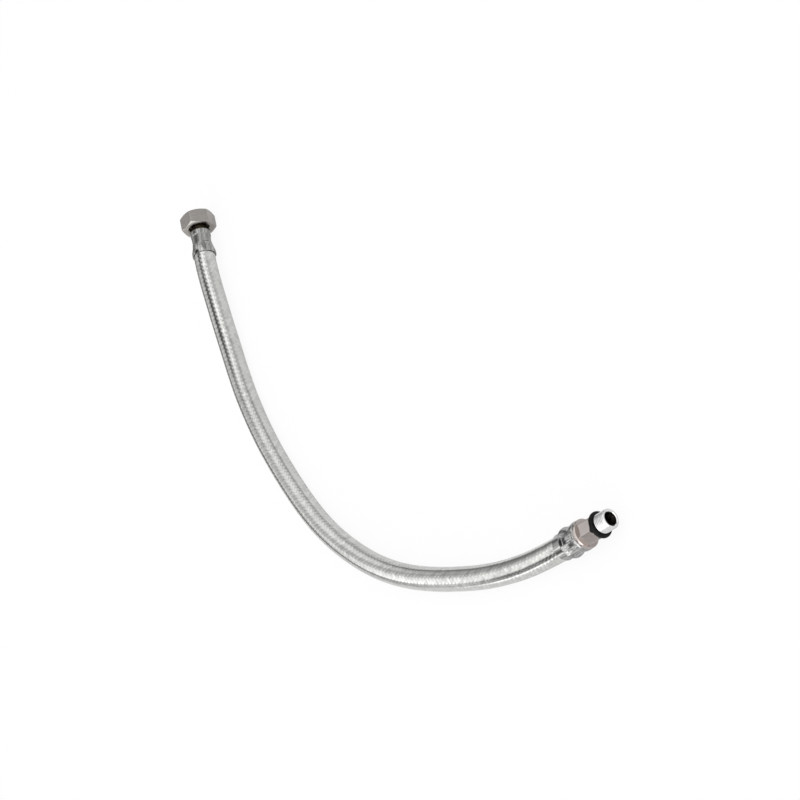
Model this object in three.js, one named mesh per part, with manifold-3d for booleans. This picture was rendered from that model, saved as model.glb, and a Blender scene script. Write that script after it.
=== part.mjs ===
// Flexible tap connector: a steel-braided hose with a swivelling union nut on one end
// and a short male tail with an O-ring on the other.
// Millimetres, +Z up. The connector lies on the plane z = 0. The origin is on that plane,
// under the middle of the box round the two end fittings, and +Y is the way the nut's mouth faces.

import * as THREE from 'three';
import { mergeVertices } from 'three/addons/utils/BufferGeometryUtils.js';
import Module from 'manifold-3d';

const wasm = await Module();
wasm.setup();

// Clearances
const FIT = 0.3; // between pieces that touch end to end
const SLIP = 0.2; // between sleeves that sit one inside the other
const ROUND = 36; // facets round a turned piece
const HOSE_SIDES = 12; // facets round the free hose
const HOSE_STEPS = 22; // lengths that the free hose is divided into
const PAST = 1; // how far a cutter reaches past the face that it cuts

// Hose
const HOSE_RADIUS = 6; // outside of the braid
const BRAID_WALL = 0.5;
const RUBBER_WALL = 1.1;
const BRAID_PRESSED_WALL = 0.3; // walls where a ferrule squeezes them
const RUBBER_PRESSED_WALL = 0.75;
const PRESS_TAPER = 4; // length over which the hose narrows into its crimp
const ENTRY_DEPTH = 2.8; // how far the full-size hose reaches into each ferrule
const TONGUE_LENGTH = 1; // overlap between a pressed end and the tube that it carries on from
const TONGUE_MARGIN = 0.1; // share of the wall left free on each side of the tongue

// Swivel nut, for a 3/8 inch compression fitting's 9/16-24 thread
const NUT_FLATS = 17; // spanner size
const NUT_LENGTH = 8.5;
const NUT_BORE_RADIUS = 6.6; // crests of the internal thread
const NUT_THREAD_RADIUS = 7.14; // roots of the internal thread
const NUT_BACK_WALL = 1.6;
const NUT_BACK_HOLE_RADIUS = 5.6;
const NUT_COUNTERSINK = 0.8; // chamfer round the back hole
const NUT_FACE_RADIUS = 8.2; // flat ring that the corner chamfers leave on each end
const NUT_STANDOFF = 1.8; // from the ferrule to the nut's back
const HEX_CHAMFER_DEG = 30; // slope of the corner chamfers on both hexagons

// Sealing washer
const WASHER_THICKNESS = 1.5;
const WASHER_HOLE_RADIUS = 4.2;

// Nipple under the nut
const NIPPLE_FLANGE = 1.2;
const NIPPLE_NECK_RADIUS = 4.3;
const NIPPLE_LEAD_IN = 0.8; // chamfer at the mouth of the bore

// Barbed stems, which both end fittings have
const BARB_PITCH = 2.4;
const BARB_HEIGHT = 0.35;
const BARB_SLOPE = 1.9; // length of the gentle side
const BARB_DROP = 0.25; // length of the steep side
const STEM_WALL = 0.65;

// Ferrule at the nut
const NUT_SLEEVE_RADIUS = 5.65;
const NUT_SLEEVE_WALL = 0.45;
const NUT_SLEEVE_LENGTH = 15.8;
const NUT_SLEEVE_END = 1; // thickness of the turned-in end
const NUT_SLEEVE_ROUND = 0.9; // radius of the turned-in edge
const NUT_SKIRT_LENGTH = 6.3; // flared mouth
const NUT_SKIRT_RIM = 2; // straight edge of the flare
const NUT_CRIMP_FLATS = 6;
const NUT_CRIMP_TURN_DEG = 50; // a ridge between two flats, turned from +Z towards +X
const NUT_CRIMP_DEPTH = 0.5; // how far the jaws press in
const NUT_CRIMP_START = 2.9; // from the turned-in end
const NUT_CRIMP_LENGTH = 6.4;
const CRIMP_RAMP = 0.8; // sloped ends of each pressed flat
const DIE_ROOM = 2; // room round the ferrule outside its crimp

// Ferrule at the tail
const TAIL_COLLAR_RADIUS = 7.75; // rear collar, which rests on the ground
const TAIL_COLLAR_LENGTH = 2.4;
const TAIL_WAIST_RADIUS = 7.05;
const TAIL_WAIST_LENGTH = 5;
const TAIL_FRONT_RADIUS = 7.4;
const TAIL_FRONT_LENGTH = 2.9;
const TAIL_STEP = 0.5; // slope between the collar, the waist and the front ring
const TAIL_LIP_WALL = 0.4;
const TAIL_LIP_LENGTH = 5.2; // thin mouth round the hose
const TAIL_SLEEVE_WALL = 1.1; // wall left under the crimp flats
const TAIL_SLEEVE_END = 1.2;
const TAIL_CRIMP_FLATS = 16;
const TAIL_CRIMP_DEPTH = 0.25;

// Male tail, M10 x 1
const TAIL_RING_RADIUS = 7.3; // shoulder in front of the ferrule
const TAIL_RING_LENGTH = 1.6;
const TAIL_HEX_FLATS = 11; // spanner size
const TAIL_HEX_LENGTH = 8.6;
const TAIL_HEX_FACE_RADIUS = 5.4; // flat ring that the corner chamfers leave
const TAIL_NECK_RADIUS = 4.4;
const TAIL_THREAD_RADIUS = 5;
const TAIL_THREAD_LENGTH = 6.4;
const TAIL_THREAD_CHAMFER = 0.5;
const TAIL_BORE_RADIUS = 3.45;
const TAIL_BORE_DEPTH = 14;
const ORING_CORD_RADIUS = 1.05;
const ORING_SIDES = 12; // facets round the ring's own section

// Where the free hose runs, from just inside the nut's ferrule to just inside the tail's.
// The nut lies on a flat and the tail on its collar, so both ends of the hose are raised.
const NUT_AXIS_HEIGHT = NUT_FLATS / 2;
const TAIL_AXIS_HEIGHT = TAIL_COLLAR_RADIUS;
const TAIL_BEARING_DEG = -5.4; // the tail's direction, turned from +X
const ROUTE = [
  [-124.5, 143, NUT_AXIS_HEIGHT],
  [-124.5, 134, NUT_AXIS_HEIGHT],
  [-123.8, 123, 8.35],
  [-122.7, 109, 7.8],
  [-121.4, 93.5, 7.1],
  [-119.9, 78, 6.4],
  [-117.9, 62, 6.05],
  [-114.8, 45.5, HOSE_RADIUS],
  [-110.2, 28, HOSE_RADIUS],
  [-104.5, 10.5, HOSE_RADIUS],
  [-98, -6, HOSE_RADIUS],
  [-90.9, -22, HOSE_RADIUS],
  [-83, -38, HOSE_RADIUS],
  [-73.9, -53.7, HOSE_RADIUS],
  [-63.3, -68.6, HOSE_RADIUS],
  [-51.7, -82.2, HOSE_RADIUS],
  [-39.2, -94.8, HOSE_RADIUS],
  [-25.4, -106.3, HOSE_RADIUS],
  [-10.5, -116.5, HOSE_RADIUS],
  [5.1, -125.4, HOSE_RADIUS],
  [21.3, -133.5, HOSE_RADIUS],
  [37.6, -140.8, HOSE_RADIUS],
  [54.5, -147, HOSE_RADIUS],
  [72, -151.9, 6.2],
  [84, -154.5, 6.9],
  [94, -156.4, 7.6],
  [103, -157.5, TAIL_AXIS_HEIGHT],
];

// Sizes that follow from the ones above
const BRAID_INNER = HOSE_RADIUS - BRAID_WALL;
const RUBBER_OUTER = BRAID_INNER - FIT;
const RUBBER_INNER = RUBBER_OUTER - RUBBER_WALL;
const NUT_PRESSED_RADIUS = NUT_SLEEVE_RADIUS - NUT_CRIMP_DEPTH - NUT_SLEEVE_WALL;
const TAIL_PRESSED_RADIUS = TAIL_WAIST_RADIUS - TAIL_CRIMP_DEPTH - TAIL_SLEEVE_WALL;
const NUT_HOSE_GRIP = NUT_SLEEVE_LENGTH - NUT_SLEEVE_END - FIT;
const TAIL_SLEEVE_LENGTH = TAIL_FRONT_LENGTH + TAIL_WAIST_LENGTH + TAIL_COLLAR_LENGTH + TAIL_LIP_LENGTH;
const TAIL_HOSE_GRIP = TAIL_SLEEVE_LENGTH - TAIL_SLEEVE_END - FIT;

const metal = (color, roughness) => new THREE.MeshStandardMaterial({ color, roughness, metalness: 1 });
const rubber = (color) => new THREE.MeshStandardMaterial({ color, roughness: 0.7, metalness: 0 });

const finishes = {
  nut: metal(0xb4b0a8, 0.32),
  nipple: metal(0xc2b48e, 0.35),
  ferrule: metal(0xbcbcb8, 0.28),
  braid: metal(0xcfcfce, 0.4),
  tail: metal(0xc8c6c4, 0.18),
  hose: rubber(0x25262a),
  washer: rubber(0x33302e),
  seal: rubber(0x0b0b0c),
};

// A three.js geometry as a solid that can be joined and cut
function toSolid(geometry) {
  const bare = geometry.clone();
  bare.deleteAttribute('normal');
  bare.deleteAttribute('uv');
  const merged = mergeVertices(bare, 1e-4);
  const mesh = new wasm.Mesh({
    numProp: 3,
    vertProperties: new Float32Array(merged.attributes.position.array),
    triVerts: new Uint32Array(merged.index.array),
  });
  return new wasm.Manifold(mesh);
}

// A solid back as a three.js geometry
function toGeometry(solid) {
  const mesh = solid.getMesh();
  const geometry = new THREE.BufferGeometry();
  geometry.setAttribute('position', new THREE.BufferAttribute(mesh.vertProperties, 3));
  geometry.setIndex(new THREE.BufferAttribute(mesh.triVerts, 1));
  geometry.computeVertexNormals();
  return geometry;
}

// Turns an outline of [radius, y] points and arcs round the Y axis
function turn(outline, sides = ROUND, start = 0) {
  const points = [...outline, outline[0]].map(([radius, y]) => new THREE.Vector2(radius, y));
  if (THREE.ShapeUtils.area(points) < 0) points.reverse();
  return new THREE.LatheGeometry(points, sides, start);
}

// Points of a round stretch of an outline, centred on [radius, y]
function arc(radius, y, size, fromDeg, toDeg, steps) {
  const [from, to] = [fromDeg, toDeg].map(THREE.MathUtils.degToRad);
  const curve = new THREE.ArcCurve(radius, y, size, from, to, to < from);
  return curve.getPoints(steps).map((point) => [point.x, point.y]);
}

// A hexagon prism round the Y axis, with flats at the top and bottom and its corners chamfered
function hexagon(flats, low, high, faceRadius) {
  const corner = flats / 2 / Math.cos(Math.PI / 6);
  const clear = corner + PAST;
  const rise = (clear - faceRadius) * Math.tan(THREE.MathUtils.degToRad(HEX_CHAMFER_DEG));
  const prism = turn([[0, low], [corner, low], [corner, high], [0, high]], 6, Math.PI / 6);
  const cone = turn([
    [0, low],
    [faceRadius, low],
    [clear, low + rise],
    [clear, high - rise],
    [faceRadius, high],
    [0, high],
  ]);
  return toSolid(prism).intersect(toSolid(cone));
}

// Sawtooth barbs on a stem, from its tip at y = -length up to y = 0
function barbs(crest, length) {
  const root = crest - BARB_HEIGHT;
  const count = Math.floor((length - BARB_PITCH) / BARB_PITCH);
  const points = [[root, -length]];
  for (let tooth = 0; tooth < count; tooth += 1) {
    const foot = -length + tooth * BARB_PITCH;
    points.push([crest, foot + BARB_SLOPE]);
    points.push([root, foot + BARB_SLOPE + BARB_DROP]);
  }
  points.push([root, 0]);
  return points;
}

// Radius left for the barbs inside a crimp: ferrule, braid, rubber and stem have a slip gap between each pair
function barbCrest(pressedRadius) {
  const braidInner = pressedRadius - SLIP - BRAID_PRESSED_WALL;
  const rubberInner = braidInner - SLIP - RUBBER_PRESSED_WALL;
  return rubberInner - SLIP;
}

// The dies that press flats into a ferrule between the two heights, with one corner at the start angle
function crimpDies(sides, flatRadius, depth, low, high, reach, start) {
  const shape = 1 / Math.cos(Math.PI / sides);
  const pressed = flatRadius * shape;
  const clear = (flatRadius + depth + DIE_ROOM) * shape;
  const slope = ((clear - pressed) / (depth * shape)) * CRIMP_RAMP;
  return toSolid(turn([
    [0, low - reach],
    [clear, low - reach],
    [clear, low - slope + CRIMP_RAMP],
    [pressed, low + CRIMP_RAMP],
    [pressed, high - CRIMP_RAMP],
    [clear, high + slope - CRIMP_RAMP],
    [clear, high + reach],
    [0, high + reach],
  ], sides, start));
}

function swivelNut(back) {
  const mouth = back + NUT_LENGTH;
  const floor = back + NUT_BACK_WALL;
  const lead = NUT_THREAD_RADIUS - NUT_BORE_RADIUS;
  const hex = hexagon(NUT_FLATS, back, mouth, NUT_FACE_RADIUS);
  const hollow = turn([
    [0, back - PAST],
    [NUT_BACK_HOLE_RADIUS + NUT_COUNTERSINK + PAST, back - PAST],
    [NUT_BACK_HOLE_RADIUS, back + NUT_COUNTERSINK],
    [NUT_BACK_HOLE_RADIUS, floor],
    [NUT_BORE_RADIUS, floor],
    [NUT_BORE_RADIUS, mouth - lead],
    [NUT_THREAD_RADIUS + PAST, mouth + PAST],
    [0, mouth + PAST],
  ]);
  return toGeometry(hex.subtract(toSolid(hollow)));
}

function sealingWasher(seat) {
  const top = seat + WASHER_THICKNESS;
  const rim = NUT_BORE_RADIUS - FIT;
  return turn([[WASHER_HOLE_RADIUS, seat], [rim, seat], [rim, top], [WASHER_HOLE_RADIUS, top]]);
}

function nutNipple(seat) {
  const crest = barbCrest(NUT_PRESSED_RADIUS);
  const bore = crest - BARB_HEIGHT - STEM_WALL;
  const rim = NUT_BORE_RADIUS - FIT;
  const face = seat + NIPPLE_FLANGE;
  const tip = NUT_HOSE_GRIP - PRESS_TAPER - ENTRY_DEPTH;
  return turn([
    [bore, -tip],
    ...barbs(crest, tip),
    [NIPPLE_NECK_RADIUS, FIT],
    [NIPPLE_NECK_RADIUS, seat],
    [rim, seat],
    [rim, face],
    [bore + NIPPLE_LEAD_IN, face],
    [bore, face - NIPPLE_LEAD_IN],
  ]);
}

function nutFerrule() {
  const end = FIT + NUT_SLEEVE_END;
  const mouth = end - NUT_SLEEVE_LENGTH;
  const skirt = mouth + NUT_SKIRT_LENGTH;
  const skirtInner = HOSE_RADIUS + SLIP;
  const taperEnd = mouth + ENTRY_DEPTH + PRESS_TAPER;
  const sleeve = turn([
    [NIPPLE_NECK_RADIUS + SLIP, FIT],
    [NIPPLE_NECK_RADIUS + SLIP, end],
    ...arc(NUT_SLEEVE_RADIUS - NUT_SLEEVE_ROUND, end - NUT_SLEEVE_ROUND, NUT_SLEEVE_ROUND, 90, 0, 4),
    [NUT_SLEEVE_RADIUS, skirt],
    [skirtInner + NUT_SLEEVE_WALL, mouth + NUT_SKIRT_RIM],
    [skirtInner + NUT_SLEEVE_WALL, mouth],
    [skirtInner, mouth],
    [skirtInner, mouth + ENTRY_DEPTH - SLIP],
    [NUT_PRESSED_RADIUS, taperEnd - SLIP],
    [NUT_PRESSED_RADIUS, FIT],
  ]);
  const high = end - NUT_CRIMP_START;
  const dies = crimpDies(
    NUT_CRIMP_FLATS,
    NUT_SLEEVE_RADIUS - NUT_CRIMP_DEPTH,
    NUT_CRIMP_DEPTH,
    high - NUT_CRIMP_LENGTH,
    high,
    NUT_SLEEVE_LENGTH,
    THREE.MathUtils.degToRad(NUT_CRIMP_TURN_DEG),
  );
  return toGeometry(toSolid(sleeve).intersect(dies));
}

function tailFerrule() {
  const front = FIT + TAIL_SLEEVE_END;
  const waistHigh = front - TAIL_FRONT_LENGTH;
  const waistLow = waistHigh - TAIL_WAIST_LENGTH;
  const collarLow = waistLow - TAIL_COLLAR_LENGTH;
  const mouth = collarLow - TAIL_LIP_LENGTH;
  const lipInner = HOSE_RADIUS + SLIP;
  const lipOuter = lipInner + TAIL_LIP_WALL;
  const taperEnd = mouth + ENTRY_DEPTH + PRESS_TAPER;
  const sleeve = turn([
    [TAIL_NECK_RADIUS + SLIP, FIT],
    [TAIL_NECK_RADIUS + SLIP, front],
    [TAIL_FRONT_RADIUS - TAIL_STEP, front],
    [TAIL_FRONT_RADIUS, front - TAIL_STEP],
    [TAIL_FRONT_RADIUS, waistHigh + TAIL_STEP],
    [TAIL_WAIST_RADIUS, waistHigh],
    [TAIL_WAIST_RADIUS, waistLow],
    [TAIL_COLLAR_RADIUS, waistLow - TAIL_STEP],
    [TAIL_COLLAR_RADIUS, collarLow + TAIL_STEP],
    [TAIL_COLLAR_RADIUS - TAIL_STEP, collarLow],
    [lipOuter, collarLow],
    [lipOuter, mouth],
    [lipInner, mouth],
    [lipInner, mouth + ENTRY_DEPTH - SLIP],
    [TAIL_PRESSED_RADIUS, taperEnd - SLIP],
    [TAIL_PRESSED_RADIUS, FIT],
  ]);
  const dies = crimpDies(
    TAIL_CRIMP_FLATS,
    TAIL_WAIST_RADIUS - TAIL_CRIMP_DEPTH,
    TAIL_CRIMP_DEPTH,
    waistLow + TAIL_STEP,
    waistHigh - TAIL_STEP,
    TAIL_SLEEVE_LENGTH,
    Math.PI / TAIL_CRIMP_FLATS,
  );
  return toGeometry(toSolid(sleeve).intersect(dies));
}

// Heights along the male tail, above the hose's cut end
const RING_LOW = FIT + TAIL_SLEEVE_END + FIT;
const HEX_LOW = RING_LOW + TAIL_RING_LENGTH;
const GROOVE_LOW = HEX_LOW + TAIL_HEX_LENGTH;
const THREAD_LOW = GROOVE_LOW + 2 * ORING_CORD_RADIUS + 2 * FIT;
const TAIL_TIP = THREAD_LOW + TAIL_THREAD_LENGTH;

function maleTail() {
  const crest = barbCrest(TAIL_PRESSED_RADIUS);
  const stemBore = crest - BARB_HEIGHT - STEM_WALL;
  const tip = TAIL_HOSE_GRIP - PRESS_TAPER - ENTRY_DEPTH;
  const boreEnd = TAIL_TIP - TAIL_BORE_DEPTH;
  const body = turn([
    [0, -tip],
    ...barbs(crest, tip),
    [TAIL_NECK_RADIUS, FIT],
    [TAIL_NECK_RADIUS, RING_LOW],
    [TAIL_RING_RADIUS, RING_LOW],
    [TAIL_RING_RADIUS, HEX_LOW - TAIL_STEP],
    [TAIL_RING_RADIUS - TAIL_STEP, HEX_LOW],
    [TAIL_NECK_RADIUS, HEX_LOW],
    [TAIL_NECK_RADIUS, THREAD_LOW],
    [TAIL_THREAD_RADIUS, THREAD_LOW],
    [TAIL_THREAD_RADIUS, TAIL_TIP - TAIL_THREAD_CHAMFER],
    [TAIL_THREAD_RADIUS - TAIL_THREAD_CHAMFER, TAIL_TIP],
    [0, TAIL_TIP],
  ]);
  const hex = hexagon(TAIL_HEX_FLATS, HEX_LOW - TAIL_STEP, GROOVE_LOW, TAIL_HEX_FACE_RADIUS);
  const waterway = turn([
    [0, -tip - PAST],
    [stemBore, -tip - PAST],
    [stemBore, boreEnd - (TAIL_BORE_RADIUS - stemBore)],
    [TAIL_BORE_RADIUS, boreEnd],
    [TAIL_BORE_RADIUS, TAIL_TIP + PAST],
    [0, TAIL_TIP + PAST],
  ]);
  return toGeometry(toSolid(body).add(hex).subtract(toSolid(waterway)));
}

function oRing() {
  const centre = TAIL_NECK_RADIUS + SLIP / 2 + ORING_CORD_RADIUS;
  const height = GROOVE_LOW + FIT + ORING_CORD_RADIUS;
  const cord = arc(centre, height, ORING_CORD_RADIUS, 0, 360 - 360 / ORING_SIDES, ORING_SIDES - 1);
  return turn(cord);
}

// One layer of the hose: a plain tube along the route, and an end pressed narrow for each ferrule
function hoseLayer(outer, inner, pressedWall, inset, placeNutEnd, placeTailEnd) {
  const section = new THREE.Shape().absarc(0, 0, outer, 0, 2 * Math.PI);
  section.holes.push(new THREE.Path().absarc(0, 0, inner, 0, 2 * Math.PI));
  const route = new THREE.CatmullRomCurve3(ROUTE.map(([x, y, z]) => new THREE.Vector3(x, y, z)));
  const run = new THREE.ExtrudeGeometry(section, {
    steps: HOSE_STEPS,
    curveSegments: HOSE_SIDES / 2,
    extrudePath: route,
  });
  let layer = toSolid(run);
  // The pressed end's tongue lies inside the wall of the tube that it carries on from
  const margin = (outer - inner) * TONGUE_MARGIN;
  const tongueOuter = outer * Math.cos(Math.PI / HOSE_SIDES) - margin;
  const tongueInner = inner + margin;
  for (const [pressedRadius, grip, place] of [
    [NUT_PRESSED_RADIUS, NUT_HOSE_GRIP, placeNutEnd],
    [TAIL_PRESSED_RADIUS, TAIL_HOSE_GRIP, placeTailEnd],
  ]) {
    const pressed = pressedRadius - inset;
    const full = ENTRY_DEPTH - grip;
    const end = turn([
      [pressed - pressedWall, 0],
      [pressed, 0],
      [pressed, full + PRESS_TAPER],
      [tongueOuter, full],
      [tongueOuter, full - TONGUE_LENGTH],
      [tongueInner, full - TONGUE_LENGTH],
      [tongueInner, full],
      [pressed - pressedWall, full + PRESS_TAPER],
    ]);
    layer = layer.add(toSolid(end.applyMatrix4(place)));
  }
  return toGeometry(layer);
}

// The two end fittings stand on frames whose +Y is the outward axis and whose origin is the hose's cut end
function endFrame(point, bearingDeg, grip) {
  const frame = new THREE.Group();
  const bearing = THREE.MathUtils.degToRad(bearingDeg);
  const reach = grip - ENTRY_DEPTH;
  const [x, y, z] = point;
  frame.position.set(x + Math.cos(bearing) * reach, y + Math.sin(bearing) * reach, z);
  frame.rotation.z = bearing - Math.PI / 2;
  frame.updateMatrixWorld();
  return frame;
}

function piece(parent, name, geometry, material) {
  const mesh = new THREE.Mesh(geometry, material);
  mesh.name = name;
  parent.add(mesh);
}

const nutEnd = endFrame(ROUTE[0], 90, NUT_HOSE_GRIP);
const tailEnd = endFrame(ROUTE[ROUTE.length - 1], TAIL_BEARING_DEG, TAIL_HOSE_GRIP);

const nutBack = FIT + NUT_SLEEVE_END + NUT_STANDOFF;
const flangeSeat = nutBack + NUT_BACK_WALL + FIT;
const washerSeat = flangeSeat + NIPPLE_FLANGE + FIT;

piece(nutEnd, 'swivel_nut', swivelNut(nutBack), finishes.nut);
piece(nutEnd, 'sealing_washer', sealingWasher(washerSeat), finishes.washer);
piece(nutEnd, 'nut_nipple', nutNipple(flangeSeat), finishes.nipple);
piece(nutEnd, 'nut_ferrule', nutFerrule(), finishes.ferrule);

piece(tailEnd, 'tail_ferrule', tailFerrule(), finishes.ferrule);
piece(tailEnd, 'male_tail', maleTail(), finishes.tail);
piece(tailEnd, 'o_ring', oRing(), finishes.seal);

const connector = new THREE.Group();
connector.add(nutEnd, tailEnd);
const ends = [nutEnd.matrixWorld, tailEnd.matrixWorld];
const braid = hoseLayer(HOSE_RADIUS, BRAID_INNER, BRAID_PRESSED_WALL, SLIP, ...ends);
const rubberInset = SLIP + BRAID_PRESSED_WALL + SLIP;
const innerHose = hoseLayer(RUBBER_OUTER, RUBBER_INNER, RUBBER_PRESSED_WALL, rubberInset, ...ends);
piece(connector, 'steel_braid', braid, finishes.braid);
piece(connector, 'inner_hose', innerHose, finishes.hose);

export default connector;
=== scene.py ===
import math

import bpy
import numpy as np
from bpy.props import FloatProperty, FloatVectorProperty, IntProperty, PointerProperty
from mathutils import Matrix, Vector


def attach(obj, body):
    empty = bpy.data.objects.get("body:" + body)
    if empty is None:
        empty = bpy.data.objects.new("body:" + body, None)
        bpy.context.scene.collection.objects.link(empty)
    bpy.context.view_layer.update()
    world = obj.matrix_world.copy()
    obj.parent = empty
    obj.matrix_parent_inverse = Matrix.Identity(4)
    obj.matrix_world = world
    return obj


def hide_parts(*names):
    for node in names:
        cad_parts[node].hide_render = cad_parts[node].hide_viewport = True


bl_info = {
    "name": "Flexible tap connector",
    "version": (1, 0, 0),
    "blender": (4, 5, 0),
    "location": "View3D > Sidebar > Tap connector",
    "description": "Dresses the packed solids of a steel-braided tap connector",
    "category": "Object",
}

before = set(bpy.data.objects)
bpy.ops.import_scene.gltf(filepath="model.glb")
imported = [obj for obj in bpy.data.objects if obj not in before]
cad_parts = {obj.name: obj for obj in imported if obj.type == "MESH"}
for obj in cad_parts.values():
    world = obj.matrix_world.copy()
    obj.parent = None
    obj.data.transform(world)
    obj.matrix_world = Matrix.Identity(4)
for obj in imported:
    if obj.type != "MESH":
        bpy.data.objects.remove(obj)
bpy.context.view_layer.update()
MM = 0.001

# The photograph's camera: it looks down at the hose from one side and is turned nearly on end
CAMERA_PLACE = (1.0392, -0.7436, 0.8842)
CAMERA_RIGHT = (0.55525, -0.19260, -0.80907)
CAMERA_UP = (0.48891, 0.86256, 0.13020)
CAMERA_BACK = (0.67280, -0.46786, 0.57310)
CAMERA_LENS = 138.42
SENSOR_WIDTH = 36.0

# The hose's route, from just inside the nut's ferrule to just inside the tail's
HOSE_RADIUS = 6 * MM
NUT_AXIS_HEIGHT = 8.5 * MM
TAIL_AXIS_HEIGHT = 7.75 * MM
TAIL_BEARING = math.radians(-5.4)
ROUTE = [
    (-0.1245, 0.143, NUT_AXIS_HEIGHT),
    (-0.1245, 0.134, NUT_AXIS_HEIGHT),
    (-0.1238, 0.123, 0.00835),
    (-0.1227, 0.109, 0.0078),
    (-0.1214, 0.0935, 0.0071),
    (-0.1199, 0.078, 0.0064),
    (-0.1179, 0.062, 0.00605),
    (-0.1148, 0.0455, HOSE_RADIUS),
    (-0.1102, 0.028, HOSE_RADIUS),
    (-0.1045, 0.0105, HOSE_RADIUS),
    (-0.098, -0.006, HOSE_RADIUS),
    (-0.0909, -0.022, HOSE_RADIUS),
    (-0.083, -0.038, HOSE_RADIUS),
    (-0.0739, -0.0537, HOSE_RADIUS),
    (-0.0633, -0.0686, HOSE_RADIUS),
    (-0.0517, -0.0822, HOSE_RADIUS),
    (-0.0392, -0.0948, HOSE_RADIUS),
    (-0.0254, -0.1063, HOSE_RADIUS),
    (-0.0105, -0.1165, HOSE_RADIUS),
    (0.0051, -0.1254, HOSE_RADIUS),
    (0.0213, -0.1335, HOSE_RADIUS),
    (0.0376, -0.1408, HOSE_RADIUS),
    (0.0545, -0.147, HOSE_RADIUS),
    (0.072, -0.1519, 0.0062),
    (0.084, -0.1545, 0.0069),
    (0.094, -0.1564, 0.0076),
    (0.103, -0.1575, TAIL_AXIS_HEIGHT),
]

# How far the hose reaches into each ferrule, and where it narrows into the crimp
ENTRY_DEPTH = 2.8 * MM
PRESS_TAPER = 4 * MM
NUT_GRIP = 14.5 * MM
TAIL_GRIP = 14 * MM
NUT_PRESSED_RADIUS = 4.7 * MM
TAIL_PRESSED_RADIUS = 5.7 * MM
SLIP = 0.2 * MM
FIT = 0.3 * MM
RUBBER_BORE_RADIUS = 4.1 * MM
RUBBER_PRESSED_WALL = 0.75 * MM
BRAID_PRESSED_WALL = 0.3 * MM

# Heights on each fitting are measured outwards along its axis from the hose's cut end
NUT_BACK = 3.1 * MM
NUT_MOUTH = 11.6 * MM
NUT_FLATS = 17 * MM
NUT_FLOOR = 4.7 * MM
NUT_BACK_HOLE_RADIUS = 5.6 * MM
NUT_COUNTERSINK = 0.8 * MM
NUT_FACE_RADIUS = 8.2 * MM
NUT_CREST_RADIUS = 6.6 * MM
NUT_ROOT_RADIUS = 7.14 * MM
FLANGE_SEAT = 5 * MM
FLANGE_FACE = 6.2 * MM
FLANGE_RADIUS = 6.3 * MM
NIPPLE_NECK_RADIUS = 4.3 * MM
WASHER_SEAT = 6.5 * MM
WASHER_TOP = 8 * MM
WASHER_HOLE_RADIUS = 4.2 * MM
NUT_CRIMP_TURN = math.radians(-10)
TAIL_NECK_RADIUS = 4.4 * MM
RING_LOW = 1.8 * MM
RING_HIGH = 3.4 * MM
RING_RADIUS = 7.3 * MM
TAIL_HEX_FLATS = 11 * MM
TAIL_HEX_FACE_RADIUS = 5.4 * MM
GROOVE_LOW = 12 * MM
THREAD_LOW = 14.7 * MM
TAIL_TIP = 21.1 * MM
TAIL_THREAD_RADIUS = 5 * MM
TAIL_THREAD_ROOT = 4.42 * MM
TAIL_BORE_RADIUS = 3.45 * MM
TAIL_BORE_LOW = 7.1 * MM
SEAL_CENTRE_RADIUS = 5.55 * MM
SEAL_HEIGHT = 13.35 * MM
SEAL_CORD_RADIUS = 1.05 * MM

BARB_HEIGHT = 0.35 * MM
BARB_PITCH = 2.4 * MM
NUT_CRIMP_FLATS = 6
TAIL_CRIMP_FLATS = 16

# How round, soft and finely divided the shapes are, and how far a cutter reaches past a surface
ROUND_SIDES = 96
SCREW_STEPS = 48
ROUTE_STEPS = 24
STATION_STEP = 0.5 * MM
LINER_SIDES = 40
LINER_RINGS = 180
LINER_GAP = 0.02 * MM
EDGE_EASE = 0.12 * MM
HEX_EASE = 0.2 * MM
HEX_CHAMFER = math.radians(30)
DIE_RAMP = 0.8 * MM
DIE_REACH = 15 * MM
PAST = 1 * MM
WELD = 0.001 * MM
SMOOTH_ANGLE = math.radians(32)

# The braid: how deep the grooves between its wires are, how flat the tops of its weave are, and
# the seed of each lay's tones, by the way that the lay runs round the hose
WIRE_GROOVE = 0.12
WEAVE_GAIN = 1.2
TONE_SEEDS = {1: 7, -1: 11}

# The stage: the floor's glow and how much of it the camera and the metal see, the lamp, and the
# white walls' slope, level and cap against white
FLOOR_SIZE = 8
FLOOR_GLOW = 1.055
FLOOR_GLOW_SEEN = 0.86
FLOOR_GLOW_IN_METAL = 0.4
LAMP_SIZE = 1.2
LAMP_POWER = 8
LAMP_HEIGHT = 1.4
WALL_SLOPE = (-0.425, -1.184, 0)
WALL_LEVEL = 1.6
WALL_CAP = 1.4


def linear(code):
    """A colour written as sRGB hex, as the linear values that shaders use."""
    parts = [int(code[i:i + 2], 16) / 255 for i in (0, 2, 4)]
    return tuple(c / 12.92 if c <= 0.04045 else ((c + 0.055) / 1.055) ** 2.4 for c in parts)


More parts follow.
